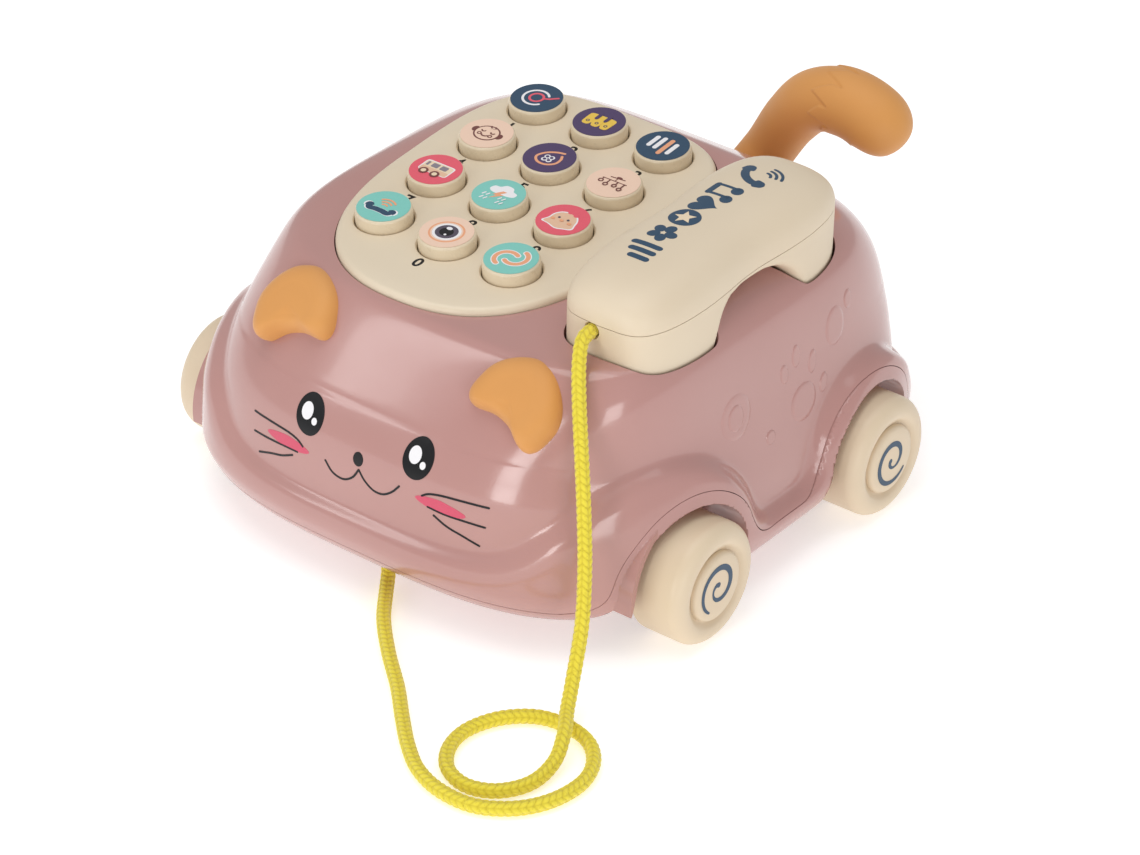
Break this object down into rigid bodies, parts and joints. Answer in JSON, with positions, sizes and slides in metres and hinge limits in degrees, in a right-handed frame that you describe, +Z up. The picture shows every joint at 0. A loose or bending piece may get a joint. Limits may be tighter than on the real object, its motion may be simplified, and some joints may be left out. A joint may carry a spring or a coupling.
{
  "type": "toy telephone",
  "caption": "Cat-shaped toy telephone on rolling wheels, with a sloping keypad of picture keys and a lift-off handset on a cord.",
  "frame": {"origin": "on the floor under the middle of the toy, measured without its cord", "axes": "+Z up, the cat face and the bumper look to -Y, the handset lies on the +X side"},
  "size_m": [0.1994, 0.2492, 0.1052],
  "materials": {
    "body_pink": "glossy moulded plastic with soft highlights",
    "cream": "satin moulded plastic",
    "orange_soft": "matte soft moulding",
    "rubber_sheet": "matte silicone",
    "board": "lacquered laminate",
    "steel": "bright plated",
    "dark_plastic": "fine matte",
    "cell": "printed sleeve",
    "cord": "braided cord"
  },
  "bodies": {
    "casing": {"upper_shell": "body_pink", "lower_chassis": "body_pink", "keypad_panel": "cream", "axle_keeper_front_left": "cream", "axle_keeper_front_right": "cream", "axle_keeper_rear_left": "cream", "axle_keeper_rear_right": "cream", "ear_left": "orange_soft", "ear_right": "orange_soft", "tail": "orange_soft", "keypad_rubber": "rubber_sheet", "circuit_board": "board", "speaker_magnet": "steel", "contact_plate_front": "steel", "contact_plate_rear": "steel", "casing_screw_1": "steel", "casing_screw_2": "steel", "casing_screw_3": "steel", "casing_screw_4": "steel", "speaker_frame": "dark_plastic", "speaker_cone": "dark_plastic", "switch_body": "dark_plastic", "battery_1": "cell", "battery_2": "cell", "battery_3": "cell", "chassis_knot": "cord", "pull_cord": "cord"},
    "handset": {"handset_upper": "cream", "handset_lower": "cream", "handset_screw_front": "steel", "handset_screw_rear": "steel", "handset_knot": "cord"},
    "key_1": {"key_1": "cream"},
    "key_2": {"key_2": "cream"},
    "key_3": {"key_3": "cream"},
    "key_4": {"key_4": "cream"},
    "key_5": {"key_5": "cream"},
    "key_6": {"key_6": "cream"},
    "key_7": {"key_7": "cream"},
    "key_8": {"key_8": "cream"},
    "key_9": {"key_9": "cream"},
    "key_10": {"key_10": "cream"},
    "key_11": {"key_11": "cream"},
    "key_12": {"key_12": "cream"},
    "front_wheels": {"axle_front": "steel", "wheel_front_left": "cream", "wheel_front_right": "cream", "hub_cap_front_left": "cream", "hub_cap_front_right": "cream"},
    "rear_wheels": {"axle_rear": "steel", "wheel_rear_left": "cream", "wheel_rear_right": "cream", "hub_cap_rear_left": "cream", "hub_cap_rear_right": "cream"},
    "power_switch": {"switch_knob": "dark_plastic"},
    "battery_door": {"battery_door": "body_pink", "battery_door_screw": "steel"}
  },
  "joints": [
    {"name": "key_1_press", "type": "slide", "parent": "casing", "child": "key_1", "axis": [0, 0.0892, -0.996], "range_m": [0, 0.0018], "stiffness_N_per_m": 500},
    {"name": "key_2_press", "type": "slide", "parent": "casing", "child": "key_2", "axis": [0, 0.0892, -0.996], "range_m": [0, 0.0018], "stiffness_N_per_m": 500},
    {"name": "key_3_press", "type": "slide", "parent": "casing", "child": "key_3", "axis": [0, 0.0892, -0.996], "range_m": [0, 0.0018], "stiffness_N_per_m": 500},
    {"name": "key_4_press", "type": "slide", "parent": "casing", "child": "key_4", "axis": [0, 0.0892, -0.996], "range_m": [0, 0.0018], "stiffness_N_per_m": 500},
    {"name": "key_5_press", "type": "slide", "parent": "casing", "child": "key_5", "axis": [0, 0.0892, -0.996], "range_m": [0, 0.0018], "stiffness_N_per_m": 500},
    {"name": "key_6_press", "type": "slide", "parent": "casing", "child": "key_6", "axis": [0, 0.0892, -0.996], "range_m": [0, 0.0018], "stiffness_N_per_m": 500},
    {"name": "key_7_press", "type": "slide", "parent": "casing", "child": "key_7", "axis": [0, 0.0892, -0.996], "range_m": [0, 0.0018], "stiffness_N_per_m": 500},
    {"name": "key_8_press", "type": "slide", "parent": "casing", "child": "key_8", "axis": [0, 0.0892, -0.996], "range_m": [0, 0.0018], "stiffness_N_per_m": 500},
    {"name": "key_9_press", "type": "slide", "parent": "casing", "child": "key_9", "axis": [0, 0.0892, -0.996], "range_m": [0, 0.0018], "stiffness_N_per_m": 500},
    {"name": "key_10_press", "type": "slide", "parent": "casing", "child": "key_10", "axis": [0, 0.0892, -0.996], "range_m": [0, 0.0018], "stiffness_N_per_m": 500},
    {"name": "key_11_press", "type": "slide", "parent": "casing", "child": "key_11", "axis": [0, 0.0892, -0.996], "range_m": [0, 0.0018], "stiffness_N_per_m": 500},
    {"name": "key_12_press", "type": "slide", "parent": "casing", "child": "key_12", "axis": [0, 0.0892, -0.996], "range_m": [0, 0.0018], "stiffness_N_per_m": 500},
    {"name": "handset_lift", "type": "slide", "parent": "casing", "child": "handset", "axis": [0, 0, 1], "range_m": [0, 0.04]},
    {"name": "front_axle_spin", "type": "hinge", "parent": "casing", "child": "front_wheels", "pos_m": [0, -0.0484, 0.0182], "axis": [1, 0, 0], "continuous": true},
    {"name": "rear_axle_spin", "type": "hinge", "parent": "casing", "child": "rear_wheels", "pos_m": [0, 0.0358, 0.0182], "axis": [1, 0, 0], "continuous": true},
    {"name": "power_switch_slide", "type": "slide", "parent": "casing", "child": "power_switch", "axis": [0, 1, 0], "range_m": [0, 0.004]},
    {"name": "battery_door_off", "type": "slide", "parent": "casing", "child": "battery_door", "axis": [0, 0, -1], "range_m": [0, 0.009]}
  ]
}
